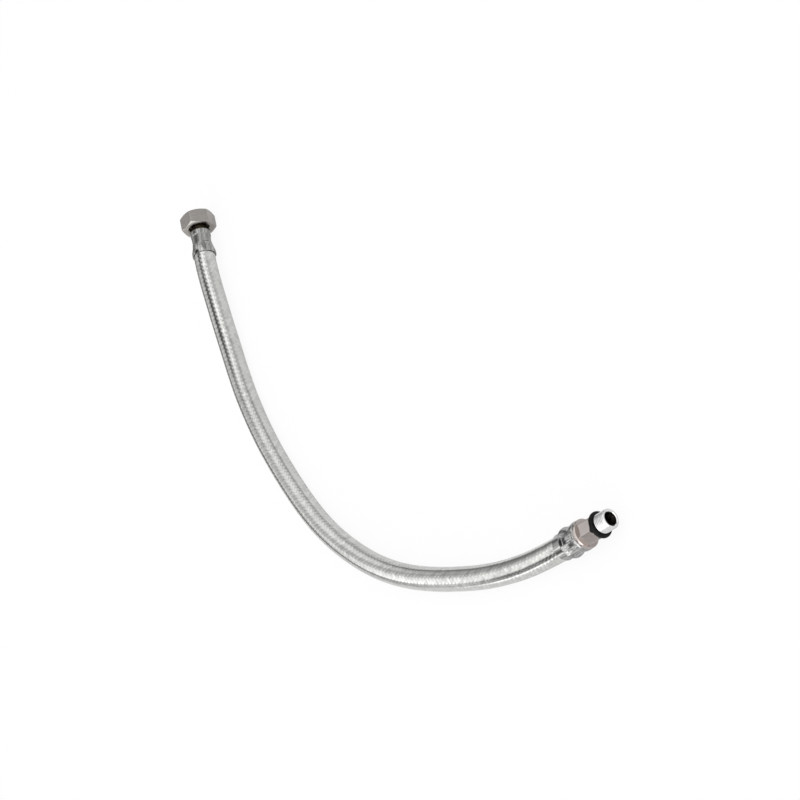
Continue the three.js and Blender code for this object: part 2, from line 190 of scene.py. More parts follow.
class ConnectorSizes(bpy.types.PropertyGroup):
    """Sizes of the fine detail that the solids leave out."""

    strands: IntProperty(
        name="Strands each way",
        description="Bands of wire that run in one direction round the hose",
        default=16,
    )
    wires: IntProperty(
        name="Wires in a strand",
        description="Wires that lie side by side in one band, drawn coarser than the real 0.2 mm",
        default=3,
    )
    strand_width: FloatProperty(
        name="Strand width",
        description="Width of one band of wires",
        default=1.62 * MM,
        unit="LENGTH",
    )
    wire_thickness: FloatProperty(
        name="Wire thickness",
        description="Height of one layer of wire",
        default=0.17 * MM,
        unit="LENGTH",
    )
    braid_angle: FloatProperty(
        name="Braid angle",
        description="Angle between a strand and the hose's axis",
        default=math.radians(40),
        subtype="ANGLE",
    )
    nut_pitch: FloatProperty(
        name="Nut thread pitch",
        description="Pitch of the 9/16 inch thread, 24 to the inch",
        default=1.058 * MM,
        unit="LENGTH",
    )
    tail_pitch: FloatProperty(
        name="Tail thread pitch",
        description="Pitch of the fine metric thread on the male tail",
        default=1.0 * MM,
        unit="LENGTH",
    )


def colour(name, description, code):
    """A colour setting with its default written as sRGB hex."""
    return FloatVectorProperty(
        name=name, description=description, subtype="COLOR", size=3, min=0, max=1, default=linear(code)
    )


class ConnectorColours(bpy.types.PropertyGroup):
    """Colours of the finishes."""

    wire: colour("Braid wire", "Bright stainless steel wire", "DEDEDC")
    wire_dull: colour("Dull wire", "Wire with drawing marks and dust between its strands", "BABAB7")
    rubber: colour("Hose rubber", "Black rubber under the braid", "101012")
    sleeve: colour("Ferrule steel", "Drawn stainless steel of the ferrules", "C2C2C1")
    sleeve_dull: colour("Ferrule streaks", "Drawing streaks along the ferrules", "6C6C6B")
    nickel: colour("Nut plating", "Satin nickel plate, slightly warm", "B4B0AC")
    nickel_dull: colour("Dull nut plating", "Rubbed and slightly tarnished nickel", "9A9490")
    # The nipple's two brass colours are darkened to near black as painted shade in the gap behind the nut;
    # their mix follows fine turning rings
    brass: colour("Nipple brass", "Unplated brass darkened as painted shade", "4A3F30")
    brass_darker_painted_shade: colour("Brass in painted shade", "Darker brass on the nipple as painted shade", "2A241C")
    chrome: colour("Tip plating", "Polished chrome on the threaded tip", "EFEFEF")
    hexagon: colour("Hexagon plating", "Duller plating on the tail's hexagon, slightly pink", "B9B1AD")
    seal: colour("Seal rubber", "Black nitrile rubber of the ring", "050505")
    washer: colour("Washer rubber", "Dark grey pressed washer", "2E2C2A")
    floor: colour("Floor", "Matt pale floor", "BEBEBE")


def add_node(tree, kind, settings=None, links=None):
    """Adds one node with its settings by name or socket number, and links from other nodes' sockets."""
    node = tree.nodes.new(kind)
    for key, value in (settings or {}).items():
        if isinstance(key, int) or key in node.inputs:
            node.inputs[key].default_value = value
        else:
            setattr(node, key, value)
    for key, source in (links or {}).items():
        tree.links.new(source, node.inputs[key])
    return node


def new_material(name):
    """A new node material, its tree and its shader, which is joined to the output already."""
    material = bpy.data.materials.new(name)
    material.use_nodes = True
    tree = material.node_tree
    return material, tree, tree.nodes["Principled BSDF"]


def rgba(values):
    """A colour with full alpha."""
    return (*values, 1.0)


def fitting_coordinates(tree, end, stretch):
    """Object coordinates centred on a fitting, with Z along its axis, scaled per millimetre."""
    place = fitting_place(end)
    source = add_node(tree, "ShaderNodeTexCoord")
    local = add_node(
        tree,
        "ShaderNodeMapping",
        {"vector_type": "TEXTURE", "Location": place.to_translation(), "Rotation": place.to_euler()},
        {"Vector": source.outputs["Object"]},
    )
    per_mm = tuple(value / MM for value in stretch)
    return add_node(tree, "ShaderNodeMapping", {"Scale": per_mm}, {"Vector": local.outputs[0]})


def streaked_metal(name, end, bright, dull, roughness, spread, stretch, depth, share=1.0):
    """Metal whose working marks run the way that the stretched noise does, in colour, gloss and relief."""
    material, tree, shader = new_material(name)
    shader.inputs["Metallic"].default_value = 1.0
    coordinates = fitting_coordinates(tree, end, stretch)
    marks = add_node(
        tree,
        "ShaderNodeTexNoise",
        {"Scale": 1.0, "Detail": 4.0, "Roughness": 0.6},
        {"Vector": coordinates.outputs[0]},
    )
    tint = add_node(
        tree,
        "ShaderNodeMapRange",
        {"From Min": 0.38, "From Max": 0.68, "To Max": share},
        {"Value": marks.outputs["Fac"]},
    )
    mixed = add_node(
        tree,
        "ShaderNodeMix",
        {"data_type": "RGBA", 6: rgba(bright), 7: rgba(dull)},
        {0: tint.outputs[0]},
    )
    gloss = add_node(
        tree,
        "ShaderNodeMapRange",
        {"From Min": 0.3, "From Max": 0.7, "To Min": roughness - spread, "To Max": roughness + spread},
        {"Value": marks.outputs["Fac"]},
    )
    relief = add_node(
        tree,
        "ShaderNodeBump",
        {"Strength": 1.0, "Distance": depth},
        {"Height": marks.outputs["Fac"]},
    )
    tree.links.new(mixed.outputs[2], shader.inputs["Base Color"])
    tree.links.new(gloss.outputs[0], shader.inputs["Roughness"])
    tree.links.new(relief.outputs[0], shader.inputs["Normal"])
    return material


def drawn_steel(name, end, colours):
    """Deep-drawn stainless steel: fine streaks along the sleeve break the highlight into lines."""
    return streaked_metal(
        name,
        end,
        colours.sleeve,
        colours.sleeve_dull,
        roughness=0.2,
        spread=0.07,
        stretch=(1.6, 1.6, 0.05),
        depth=0.02 * MM,
    )


def satin_nickel(colours):
    """Satin nickel plate on brass: an even soft gloss with faint turning rings and a warm tint."""
    return streaked_metal(
        "satin_nickel_plate",
        "nut",
        colours.nickel,
        colours.nickel_dull,
        roughness=0.27,
        spread=0.06,
        stretch=(0.25, 0.25, 2.2),
        depth=0.008 * MM,
        share=0.6,
    )


def polished_chrome(colours):
    """Chrome plate on brass: a near mirror on the tip, and duller and pinker where a spanner grips."""
    material = streaked_metal(
        "polished_chrome_plate",
        "tail",
        colours.chrome,
        colours.nickel_dull,
        roughness=0.14,
        spread=0.04,
        stretch=(0.2, 0.2, 3.0),
        depth=0.003 * MM,
        share=0.3,
    )
    tree = material.node_tree
    shader = tree.nodes["Principled BSDF"]
    along = fitting_coordinates(tree, "tail", (1, 1, 1))
    height = add_node(tree, "ShaderNodeSeparateXYZ", links={0: along.outputs[0]})
    tip = add_node(
        tree,
        "ShaderNodeMapRange",
        {"From Min": GROOVE_LOW / MM, "From Max": THREAD_LOW / MM},
        {"Value": height.outputs["Z"]},
    )
    polished = shader.inputs["Base Color"].links[0].from_socket
    mixed = add_node(
        tree, "ShaderNodeMix", {"data_type": "RGBA", 6: rgba(colours.hexagon)}, {0: tip.outputs[0], 7: polished}
    )
    tree.links.new(mixed.outputs[2], shader.inputs["Base Color"])
    return material


def turned_brass(colours):
    """Unplated turned brass with fine rings round the part, its colours darkened as painted shade to nearly
    black in the gap behind the nut.
    """
    return streaked_metal(
        "turned_brass_painted_shade",
        "nut",
        colours.brass,
        colours.brass_darker_painted_shade,
        roughness=0.4,
        spread=0.08,
        stretch=(0.1, 0.1, 5.0),
        depth=0.01 * MM,
    )


def braid_wire(colours):
    """Bright stainless braid wire: each strand has its own tone, with fine drawing marks along the wires."""
    material, tree, shader = new_material("stainless_braid_wire")
    shader.inputs["Metallic"].default_value = 1.0
    tone = add_node(tree, "ShaderNodeAttribute", {"attribute_name": "strand_tone"})
    source = add_node(tree, "ShaderNodeTexCoord")
    dust = add_node(
        tree,
        "ShaderNodeTexNoise",
        {"Scale": 0.35 / MM, "Detail": 3.0},
        {"Vector": source.outputs["Object"]},
    )
    both = add_node(
        tree,
        "ShaderNodeMath",
        {"operation": "MULTIPLY"},
        {0: tone.outputs["Fac"], 1: dust.outputs["Fac"]},
    )
    mixed = add_node(
        tree,
        "ShaderNodeMix",
        {"data_type": "RGBA", 6: rgba(colours.wire), 7: rgba(colours.wire_dull)},
        {0: both.outputs[0]},
    )
    gloss = add_node(
        tree,
        "ShaderNodeMapRange",
        {"To Min": 0.12, "To Max": 0.22},
        {"Value": dust.outputs["Fac"]},
    )
    tree.links.new(mixed.outputs[2], shader.inputs["Base Color"])
    tree.links.new(gloss.outputs[0], shader.inputs["Roughness"])
    return material


def moulded_rubber(name, tint, roughness, grain):
    """Moulded black rubber: a dull skin with a fine grain and no metal shine."""
    material, tree, shader = new_material(name)
    spread = 0.08
    source = add_node(tree, "ShaderNodeTexCoord")
    skin = add_node(
        tree,
        "ShaderNodeTexNoise",
        {"Scale": grain / MM, "Detail": 3.0},
        {"Vector": source.outputs["Object"]},
    )
    relief = add_node(
        tree,
        "ShaderNodeBump",
        {"Strength": 1.0, "Distance": 0.01 * MM},
        {"Height": skin.outputs["Fac"]},
    )
    gloss = add_node(
        tree,
        "ShaderNodeMapRange",
        {"To Min": roughness - spread, "To Max": roughness + spread},
        {"Value": skin.outputs["Fac"]},
    )
    shader.inputs["Base Color"].default_value = rgba(tint)
    shader.inputs["Specular IOR Level"].default_value = 0.2
    tree.links.new(gloss.outputs[0], shader.inputs["Roughness"])
    tree.links.new(relief.outputs[0], shader.inputs["Normal"])
    return material


def fitting_place(end):
    """The matrix of a fitting's own frame: Z outwards along its axis, and Y down to the floor."""
    if end == "nut":
        outward = Vector((0, 1, 0))
        cut = Vector(ROUTE[0]) + outward * (NUT_GRIP - ENTRY_DEPTH)
    else:
        outward = Vector((math.cos(TAIL_BEARING), math.sin(TAIL_BEARING), 0))
        cut = Vector(ROUTE[-1]) + outward * (TAIL_GRIP - ENTRY_DEPTH)
    down = Vector((0, 0, -1))
    side = down.cross(outward)
    place = Matrix((side, down, outward)).transposed().to_4x4()
    place.translation = cut
    return place


def clear_selection():
    """Deselects everything, so that the next step acts on one piece alone."""
    bpy.ops.object.select_all(action="DESELECT")


def edit(piece):
    """Opens one piece in edit mode with nothing else selected."""
    clear_selection()
    piece.select_set(True)
    bpy.context.view_layer.objects.active = piece
    bpy.ops.object.mode_set(mode="EDIT")


def close_up():
    """Welds doubles, turns the faces outwards and leaves edit mode."""
    bpy.ops.mesh.select_all(action="SELECT")
    bpy.ops.mesh.remove_doubles(threshold=WELD)
    bpy.ops.mesh.normals_make_consistent(inside=False)
    bpy.ops.object.mode_set(mode="OBJECT")


def first_ring(name, radius, height, sides, turn):
    """The circle that a turned piece starts from, open in edit mode."""
    clear_selection()
    bpy.ops.mesh.primitive_circle_add(
        vertices=sides,
        radius=radius,
        fill_type="NOTHING",
        location=(0, 0, height),
        rotation=(0, 0, turn),
    )
    bpy.ops.object.transform_apply(location=True, rotation=True, scale=True)
    piece = bpy.context.object
    piece.name = name
    bpy.ops.object.mode_set(mode="EDIT")
    bpy.ops.mesh.select_all(action="SELECT")
    return piece


def follow(outline, start):
    """Extrudes and resizes the selected ring through the outline's points."""
    radius, height = start
    for next_radius, next_height in outline:
        rise = (0, 0, next_height - height)
        bpy.ops.mesh.extrude_edges_move(TRANSFORM_OT_translate={"value": rise})
        ratio = next_radius / radius
        bpy.ops.transform.resize(value=(ratio, ratio, 1), center_override=(0, 0, next_height))
        radius, height = next_radius, next_height


def turned_ring(name, outline):
    """A turned piece with a hole through it, from the closed outline of its section."""
    piece = first_ring(name, *outline[0], ROUND_SIDES, 0)
    follow([*outline[1:], outline[0]], outline[0])
    close_up()
    return piece


def turned_bar(name, outline, sides=ROUND_SIDES, turn=0.0):
    """A turned piece without a hole, from the outline between its two flat ends."""
    piece = first_ring(name, *outline[0], sides, turn)
    bpy.ops.mesh.edge_face_add()
    bpy.ops.mesh.select_all(action="SELECT")
    for (radius, height), (next_radius, next_height) in zip(outline, outline[1:]):
        rise = (0, 0, next_height - height)
        bpy.ops.mesh.extrude_region_move(TRANSFORM_OT_translate={"value": rise})
        ratio = next_radius / radius
        bpy.ops.transform.resize(value=(ratio, ratio, 1), center_override=(0, 0, next_height))
    close_up()
    return piece


def eased(outline, size=EDGE_EASE):
    """The closed outline with each corner rounded by about that size, or less on a short side."""
    points = [Vector(p) for p in outline]
    result = []
    for i, corner in enumerate(points):
        before, after = points[i - 1], points[(i + 1) % len(points)]
        reach = min(size, (before - corner).length / 2.5, (after - corner).length / 2.5)
        entry = corner + (before - corner).normalized() * reach
        leave = corner + (after - corner).normalized() * reach
        middle = (entry + leave) / 4 + corner / 2
        result += [tuple(entry), tuple(middle), tuple(leave)]
    return result


def combine(piece, other, operation):
    """Joins, cuts or trims a piece with another one, which is used up."""
    clear_selection()
    piece.select_set(True)
    bpy.context.view_layer.objects.active = piece
    bpy.ops.object.modifier_add(type="BOOLEAN")
    modifier = piece.modifiers[-1]
    modifier.operation = operation
    modifier.object = other
    modifier.solver = "EXACT"
    bpy.ops.object.modifier_apply(modifier=modifier.name)
    bpy.data.objects.remove(other)
    return piece


def bevel_lengthwise(piece, width):
    """Rounds the edges that run along a prism's axis."""
    edit(piece)
    bpy.ops.mesh.select_all(action="DESELECT")
    bpy.ops.object.mode_set(mode="OBJECT")
    vertices = piece.data.vertices
    for edge in piece.data.edges:
        low, high = (vertices[i].co for i in edge.vertices)
        along = abs(low.z - high.z)
        edge.select = along > 0 and (low - high).length - along < WELD
    bpy.ops.object.mode_set(mode="EDIT")
    bpy.ops.mesh.bevel(offset=width, segments=3, affect="EDGES")
    close_up()


def hex_bar(name, flats, low, high, face_radius):
    """A hexagon with flats at the top and bottom, its long edges softened and its corners chamfered."""
    corner = flats / 2 / math.cos(math.pi / 6)
    bar = turned_bar(name, [(corner, low), (corner, high)], 6, math.pi / 6)
    bevel_lengthwise(bar, HEX_EASE)
    clear = corner + PAST
    rise = (clear - face_radius) * math.tan(HEX_CHAMFER)
    cone = [(face_radius, low), (clear, low + rise), (clear, high - rise), (face_radius, high)]
    return combine(bar, turned_bar("chamfer", cone), "INTERSECT")


def threaded_bar(name, root, crest, pitch, low, high):
    """A bar with a V thread, swept by the screw modifier and cut flat at both ends."""
    flat = pitch / 8
    profile = [
        (root, 0),
        (root, flat),
        (crest, pitch / 2 - flat / 2),
        (crest, pitch / 2 + flat / 2),
        (root, pitch),
    ]
    piece = first_ring(name, crest, low - 2 * pitch, 3, 0)
    bpy.ops.mesh.merge(type="CENTER")
    bpy.ops.transform.translate(value=(root, 0, 0))
    for (radius, height), (next_radius, next_height) in zip(profile, profile[1:]):
        step = (next_radius - radius, 0, next_height - height)
        bpy.ops.mesh.extrude_vertices_move(TRANSFORM_OT_translate={"value": step})
    bpy.ops.object.mode_set(mode="OBJECT")
    bpy.ops.object.modifier_add(type="SCREW")
    sweep = piece.modifiers[-1]
    sweep.axis = "Z"
    sweep.steps = SCREW_STEPS
    sweep.render_steps = SCREW_STEPS
    sweep.screw_offset = pitch
    sweep.iterations = math.ceil((high - low) / pitch) + 4
    sweep.use_merge_vertices = True
    sweep.merge_threshold = WELD
    bpy.ops.object.modifier_apply(modifier=sweep.name)
    edit(piece)
    bpy.ops.mesh.select_all(action="SELECT")
    bpy.ops.mesh.remove_doubles(threshold=WELD)
    for height, side in ((low, -1), (high, 1)):
        bpy.ops.mesh.select_all(action="SELECT")
        bpy.ops.mesh.bisect(
            plane_co=(0, 0, height),
            plane_no=(0, 0, side),
            use_fill=True,
            clear_outer=True,
            threshold=WELD,
        )
    close_up()
    return piece


def crimp_dies(sides, flat_radius, depth, low, high, turn):
    """The jaws that press flats into a ferrule between two heights."""
    shape = 1 / math.cos(math.pi / sides)
    pressed = flat_radius * shape
    clear = (flat_radius + depth + 2 * PAST) * shape
    slope = (clear - pressed) / (depth * shape) * DIE_RAMP
    outline = [
        (clear, low - DIE_REACH),
        (clear, low - slope + DIE_RAMP),
        (pressed, low + DIE_RAMP),
        (pressed, high - DIE_RAMP),
        (clear, high + slope - DIE_RAMP),
        (clear, high + DIE_REACH),
    ]
    return turned_bar("dies", outline, sides, turn)


def barbs(crest, length):
    """Sawtooth barbs on a stem, from its tip up to the hose's cut end, each with a long and a short slope."""
    root = crest - BARB_HEIGHT
    points = [(root, -length)]
    for tooth in range(math.floor((length - BARB_PITCH) / BARB_PITCH)):
        foot = -length + tooth * BARB_PITCH
        points += [(crest, foot + 0.8 * BARB_PITCH), (root, foot + 0.9 * BARB_PITCH)]
    return [*points, (root, 0)]


def finish_piece(piece, end, body, material, slot, *nodes):
    """Seats a piece on its fitting, smooths it and hands it to the frame in place of its solid."""
    clear_selection()
    piece.select_set(True)
    bpy.context.view_layer.objects.active = piece
    if end:
        piece.matrix_world = fitting_place(end)
        bpy.ops.object.transform_apply(location=True, rotation=True, scale=True)
        bpy.ops.object.shade_smooth_by_angle(angle=SMOOTH_ANGLE)
    piece.data.materials.clear()
    piece.data.materials.append(material)
    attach(piece, body)
    if nodes:
        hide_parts(*nodes)


def smooth_route():
    """Close points on the curve through the route, as the solids' own curve runs."""
    points = np.array(ROUTE)
    padded = np.vstack([2 * points[0] - points[1], points, 2 * points[-1] - points[-2]])
    share = np.linspace(0, 1, ROUTE_STEPS, endpoint=False)[:, None]
    parts = []
    for a, b, c, d in zip(padded, padded[1:], padded[2:], padded[3:]):
        before, here, after = (math.sqrt(np.linalg.norm(q - p)) for p, q in ((a, b), (b, c), (c, d)))
        leave = ((b - a) / before - (c - a) / (before + here) + (c - b) / here) * here
        arrive = ((c - b) / here - (d - b) / (here + after) + (d - c) / after) * here
        parts.append(
            b + leave * share
            + (3 * (c - b) - 2 * leave - arrive) * share ** 2
            + (2 * (b - c) + leave + arrive) * share ** 3
        )
    return np.vstack([*parts, points[-1:]])


class HosePath:
    """The hose's centreline from one cut end to the other, with axes that don't twist along it."""

    def __init__(self):
        run = smooth_route()
        nut_cut = np.array(fitting_place("nut").translation)
        tail_cut = np.array(fitting_place("tail").translation)
        points = np.vstack([nut_cut, run, tail_cut])
        steps = np.linalg.norm(np.diff(points, axis=0), axis=1)
        along = np.concatenate([[0], np.cumsum(steps)])
        self.length = along[-1]
        self.stations = np.linspace(0, self.length, round(self.length / STATION_STEP))
        self.points = np.stack([np.interp(self.stations, along, points[:, i]) for i in range(3)], axis=1)
        tangents = np.gradient(self.points, self.stations, axis=0)
        tangents /= np.linalg.norm(tangents, axis=1, keepdims=True)
        first = np.array((0.0, 0.0, 1.0))
        sides = []
        for tangent in tangents:
            first = first - tangent * (first @ tangent)
            first /= np.linalg.norm(first)
            sides.append(first)
        self.first = np.array(sides)
        self.second = np.cross(tangents, self.first)

    def at(self, along, angle, radius):
        """Points on the hose at these distances along it, angles round it and radii."""
        along = np.clip(along, 0, self.length)
        centre, first, second = (
            np.stack([np.interp(along, self.stations, table[:, i]) for i in range(3)], axis=-1)
            for table in (self.points, self.first, self.second)
        )
        across = first * np.cos(angle)[..., None] + second * np.sin(angle)[..., None]
        return centre + across * radius[..., None]

    def outer(self, along):
        """Radius of the braid's outside: full along the free hose and pressed narrow in both crimps."""
        nut_full = NUT_GRIP - ENTRY_DEPTH
        tail_full = self.length - (TAIL_GRIP - ENTRY_DEPTH)
        stations = [0, nut_full - PRESS_TAPER, nut_full, tail_full, tail_full + PRESS_TAPER, self.length]
        nut_end = NUT_PRESSED_RADIUS - SLIP
        tail_end = TAIL_PRESSED_RADIUS - SLIP
        radii = [nut_end, nut_end, HOSE_RADIUS, HOSE_RADIUS, tail_end, tail_end]
        return np.interp(along, stations, radii)


def mesh_piece(name, points, faces):
    """A new object from points and faces."""
    mesh = bpy.data.meshes.new(name)
    mesh.from_pydata(points.reshape(-1, 3).tolist(), [], faces)
    mesh.validate()
    piece = bpy.data.objects.new(name, mesh)
    bpy.context.scene.collection.objects.link(piece)
    mesh.polygons.foreach_set("use_smooth", np.ones(len(mesh.polygons), bool))
    return piece


def tube_faces(rings, around, start=0):
    """Quads between successive rings of points, and a face over each end."""
    here = np.arange(rings - 1)[:, None] * around + np.arange(around)[None] + start
    side = np.arange(rings - 1)[:, None] * around + (np.arange(around)[None] + 1) % around + start
    quads = np.stack([here, side, side + around, here + around], axis=-1).reshape(-1, 4).tolist()
    first = list(range(start, start + around))[::-1]
    last = list(range(start + (rings - 1) * around, start + rings * around))
    return [*quads, first, last]


def braid_lay(name, path, sizes, hand):
    """All the strands that run one way round the hose, each over two and under two of the others."""
    count = sizes.strands
    thickness = sizes.wire_thickness
    rate = math.tan(sizes.braid_angle) / HOSE_RADIUS
    crossing = math.pi / count / rate
    along = np.linspace(0, path.length, round(path.length / crossing * 2) + 1)
    tops = 2 * sizes.wires
    groove_depth = WIRE_GROOVE * thickness
    across = np.array([*(np.arange(tops + 1) / tops - 0.5), 0.5, -0.5]) * sizes.strand_width
    raised = np.array([*(-groove_depth * ((np.arange(tops + 1) + 1) % 2)), -thickness, -thickness])
    slant = math.sin(sizes.braid_angle), math.cos(sizes.braid_angle)
    strand = np.arange(count)[:, None, None]
    station = along[None, :, None] - hand * slant[0] * across
    angle = (
        hand * rate * along[None, :, None] + 2 * math.pi * strand / count + slant[1] * across / HOSE_RADIUS
    )
    other = (angle + hand * rate * station) * count / (2 * math.pi)
    wave = hand * np.clip(WEAVE_GAIN * np.cos(math.pi / 2 * (strand + other - 0.5)), -1, 1)
    full = path.outer(station)
    radius = full - thickness + (wave + 1) * thickness / 2 + raised
    points = path.at(station, angle, radius)
    rings, around = len(along), len(across)
    faces = []
    for k in range(count):
        faces += tube_faces(rings, around, k * rings * around)
    piece = mesh_piece(name, points, faces)
    mesh = piece.data
    pairs = np.empty(len(mesh.edges) * 2, int)
    mesh.edges.foreach_get("vertices", pairs)
    columns = pairs.reshape(-1, 2) % around
    groove = (columns[:, 0] == columns[:, 1]) & ((columns[:, 0] % 2 == 0) | (columns[:, 0] > tops))
    mesh.edges.foreach_set("use_edge_sharp", groove)
    tones = np.random.default_rng(TONE_SEEDS[hand]).uniform(0, 1, count)
    tone = mesh.attributes.new("strand_tone", "FLOAT", "POINT")
    tone.data.foreach_set("value", np.repeat(tones, rings * around).astype(np.float32))
    return piece


def rubber_liner(path, sizes):
    """The rubber hose inside the braid, with its bore open and its ends pressed narrow."""
    sides = LINER_SIDES
    along = np.linspace(0, path.length, LINER_RINGS)
    skin = path.outer(along) - 2 * sizes.wire_thickness - LINER_GAP
    pressed_bore = path.outer(along) - BRAID_PRESSED_WALL - SLIP - RUBBER_PRESSED_WALL
    bore = np.minimum(RUBBER_BORE_RADIUS, pressed_bore)
    angle = np.arange(sides) / sides * 2 * math.pi
    stations = np.concatenate([along, along[::-1]])
    radii = np.concatenate([skin, bore[::-1]])
    points = path.at(
        np.repeat(stations[:, None], sides, 1),
        np.repeat(angle[None], len(stations), 0),
        np.repeat(radii[:, None], sides, 1),
    )
    rings = len(stations)
    here = np.arange(rings)[:, None] * sides + np.arange(sides)[None]
    side = np.arange(rings)[:, None] * sides + (np.arange(sides)[None] + 1) % sides
    above = (here + sides) % (rings * sides)
    above_side = (side + sides) % (rings * sides)
    quads = np.stack([here, side, above_side, above], axis=-1).reshape(-1, 4).tolist()
    return mesh_piece("rubber_liner", points, quads)


class OBJECT_OT_connector_camera(bpy.types.Operator):
    """Puts the camera where the photograph was taken from"""

    bl_idname = "object.connector_camera"
    bl_label = "Camera"

    def execute(self, context):
        data = bpy.data.cameras.new("camera")
        data.lens = CAMERA_LENS
        data.sensor_width = SENSOR_WIDTH
        data.clip_end = 20
        camera = bpy.data.objects.new("camera", data)
        context.scene.collection.objects.link(camera)
        place = Matrix((CAMERA_RIGHT, CAMERA_UP, CAMERA_BACK)).transposed().to_4x4()
        place.translation = CAMERA_PLACE
        camera.matrix_world = place
        context.scene.camera = camera
        return {"FINISHED"}


class OBJECT_OT_connector_hose(bpy.types.Operator):
    """Makes the rubber hose and both lays of the steel braid over it"""

    bl_idname = "object.connector_hose"
    bl_label = "Braided hose"

    def execute(self, context):
        sizes, colours = context.scene.connector_sizes, context.scene.connector_colours
        path = HosePath()
        wire = braid_wire(colours)
        liner = rubber_liner(path, sizes)
        rubber = moulded_rubber("black_hose_rubber", colours.rubber, 0.6, 4.0)
        finish_piece(liner, None, "hose", rubber, "hose_rubber", "inner_hose")
        left = braid_lay("braid_left_lay", path, sizes, -1)
        finish_piece(left, None, "hose", wire, "braid_steel")
        right = braid_lay("braid_right_lay", path, sizes, 1)
        finish_piece(right, None, "hose", wire, "braid_steel", "steel_braid")
        return {"FINISHED"}


class OBJECT_OT_connector_nut(bpy.types.Operator):
    """Makes the hexagon union nut with its internal thread"""

    bl_idname = "object.connector_nut"
    bl_label = "Union nut"

    def execute(self, context):
        sizes, colours = context.scene.connector_sizes, context.scene.connector_colours
        nut = hex_bar("union_nut", NUT_FLATS, NUT_BACK, NUT_MOUTH, NUT_FACE_RADIUS)
        relief = NUT_FLOOR + 1.2 * MM
        lead = NUT_ROOT_RADIUS - NUT_CREST_RADIUS
        overlap, run_out = 0.05 * MM, 0.4 * MM
        hollow = [
            (NUT_BACK_HOLE_RADIUS + NUT_COUNTERSINK + PAST, NUT_BACK - PAST),
            (NUT_BACK_HOLE_RADIUS, NUT_BACK + NUT_COUNTERSINK),
            (NUT_BACK_HOLE_RADIUS, NUT_FLOOR),
            (NUT_ROOT_RADIUS, NUT_FLOOR),
            (NUT_ROOT_RADIUS, relief),
            (NUT_CREST_RADIUS, relief + lead / 2),
            (NUT_CREST_RADIUS, NUT_MOUTH - lead),
            (NUT_ROOT_RADIUS + PAST, NUT_MOUTH + PAST),
        ]
        combine(nut, turned_bar("hollow", hollow), "DIFFERENCE")
        thread = threaded_bar(
            "thread",
            NUT_CREST_RADIUS - overlap,
            NUT_ROOT_RADIUS,
            sizes.nut_pitch,
            relief - run_out,
            NUT_MOUTH + PAST,
        )
        combine(nut, thread, "DIFFERENCE")
        finish_piece(nut, "nut", "union", satin_nickel(colours), "nut_plating", "swivel_nut")
        return {"FINISHED"}


class OBJECT_OT_connector_washer(bpy.types.Operator):
    """Makes the flat washer that seals inside the nut"""

    bl_idname = "object.connector_washer"
    bl_label = "Sealing washer"

    def execute(self, context):
        colours = context.scene.connector_colours
        section = [
            (WASHER_HOLE_RADIUS, WASHER_SEAT),
            (FLANGE_RADIUS, WASHER_SEAT),
            (FLANGE_RADIUS, WASHER_TOP),
            (WASHER_HOLE_RADIUS, WASHER_TOP),
        ]
        washer = turned_ring("flat_washer", eased(section, 2 * EDGE_EASE))
        rubber = moulded_rubber("grey_washer_rubber", colours.washer, 0.7, 3.0)
        finish_piece(washer, "nut", "union", rubber, "washer_rubber", "sealing_washer")
        return {"FINISHED"}


class OBJECT_OT_connector_nipple(bpy.types.Operator):
    """Makes the flanged nipple that the nut pulls on, with its barbed stem"""

    bl_idname = "object.connector_nipple"
    bl_label = "Nipple"

    def execute(self, context):
        colours = context.scene.connector_colours
        crest, bore, lead, stem = 3.05 * MM, 2.05 * MM, 0.8 * MM, 7 * MM
        section = [
            (bore, -stem),
            *barbs(crest, stem),
            (NIPPLE_NECK_RADIUS, FIT),
            (NIPPLE_NECK_RADIUS, FLANGE_SEAT),
            (FLANGE_RADIUS, FLANGE_SEAT),
            (FLANGE_RADIUS, FLANGE_FACE),
            (bore + lead, FLANGE_FACE),
            (bore, FLANGE_FACE - lead),
        ]
        nipple = turned_ring("flanged_nipple", eased(section))
        finish_piece(nipple, "nut", "hose", turned_brass(colours), "nipple_plating", "nut_nipple")
        return {"FINISHED"}


